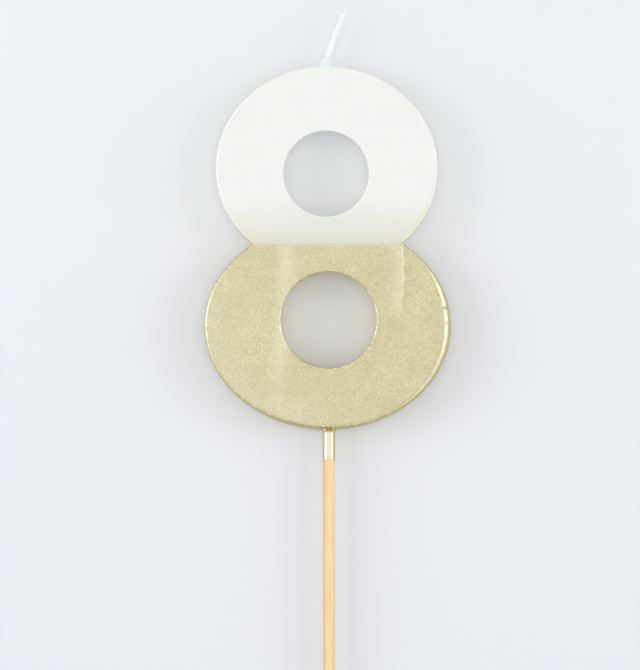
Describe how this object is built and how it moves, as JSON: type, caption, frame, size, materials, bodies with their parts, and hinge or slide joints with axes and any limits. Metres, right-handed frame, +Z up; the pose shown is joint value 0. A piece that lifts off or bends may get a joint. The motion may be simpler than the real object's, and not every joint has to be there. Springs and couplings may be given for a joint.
{
  "type": "number birthday candle",
  "caption": "Figure-eight number candle: flat wax numeral with a gold-dipped lower loop, a short leaning wick, and a pointed bamboo stick that pushes into a cake.",
  "frame": {"origin": "the sharpened lower tip of the stick, on the stick's axis, which is also the middle of the numeral's thickness and within 0.6 mm of the middle of its width", "axes": "+Z up along the stick to the wick; -Y is the way the numeral's face looks; +X is to the right as the numeral is read, and the wick leans that way"},
  "size_m": [0.0523, 0.0066, 0.1782],
  "materials": {
    "wax": "satin",
    "gold_dip": "satin",
    "bamboo": "matte",
    "wick_cotton": "matte"
  },
  "bodies": {
    "candle": {"wax_body": "wax", "gold_coat": "gold_dip", "bamboo_stick": "bamboo", "wick_core": "wick_cotton"},
    "wick": {"wick_free_end": "wick_cotton"}
  },
  "joints": [
    {"name": "wick_bend", "type": "hinge", "parent": "candle", "child": "wick", "pos_m": [-0.00012, 0, 0.1692], "axis": [0, 1, 0], "range_deg": [-70, 30]}
  ]
}
